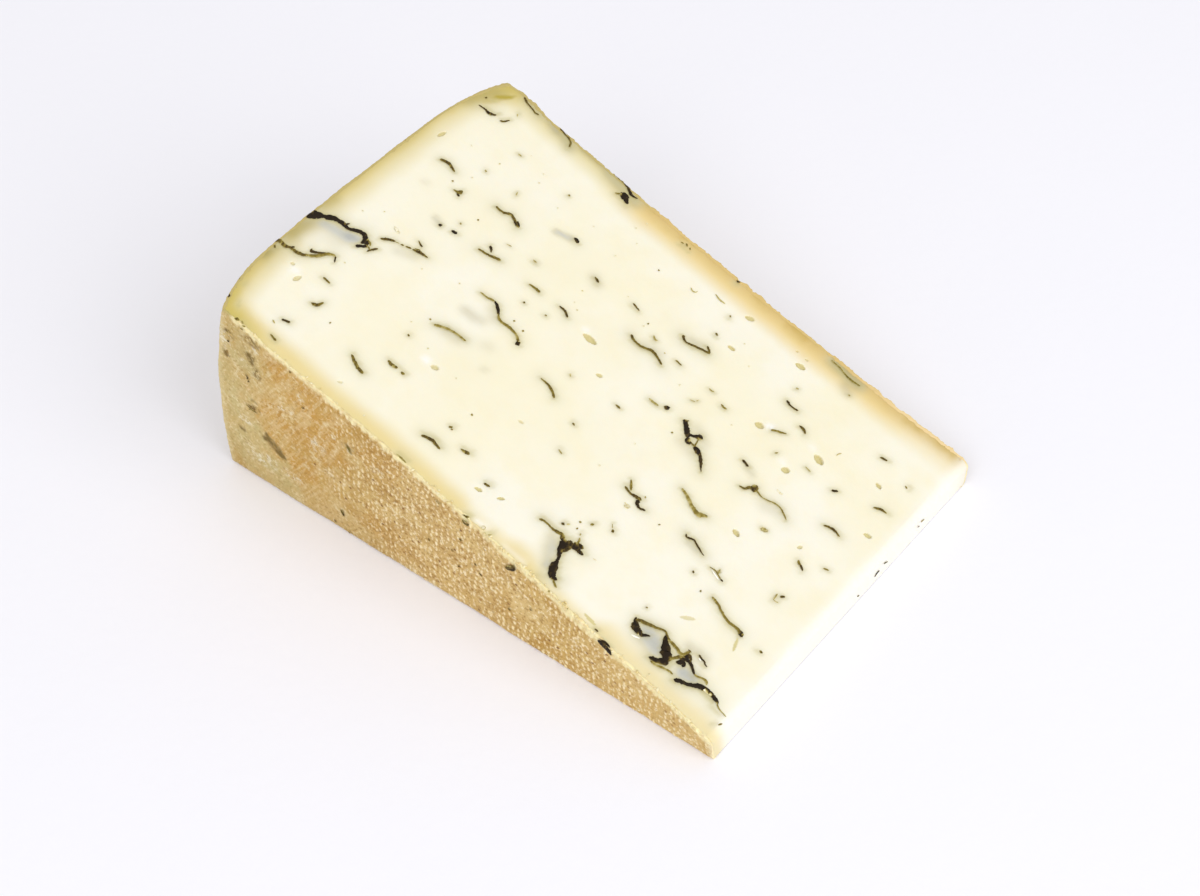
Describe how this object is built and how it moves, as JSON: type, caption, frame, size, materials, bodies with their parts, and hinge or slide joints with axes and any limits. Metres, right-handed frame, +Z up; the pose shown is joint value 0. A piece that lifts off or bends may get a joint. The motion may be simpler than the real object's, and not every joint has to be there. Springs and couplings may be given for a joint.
{
  "type": "wild garlic cheese wedge",
  "caption": "Wedge of semi-hard cheese lying on one cut face, pale paste with dark herb shreds, cloth-pressed rind on three sides and a trimmed nose.",
  "frame": {"origin": "middle of the underside, which is the lower cut face", "axes": "+X from the rim of the wheel towards the trimmed nose, +Y from the near flat rind towards the far one, +Z up"},
  "size_m": [0.1226, 0.0815, 0.0478],
  "materials": {
    "paste": "smooth cut cheese, pale cream, slightly moist and translucent, olive yellow under the rind",
    "rind": "dry tan rind with the print of the pressing cloth and pale powdery bumps",
    "herb": "limp dark green shredded leaf, slightly moist"
  },
  "bodies": {
    "root": {"cheese_wedge": "paste"}
  },
  "joints": []
}
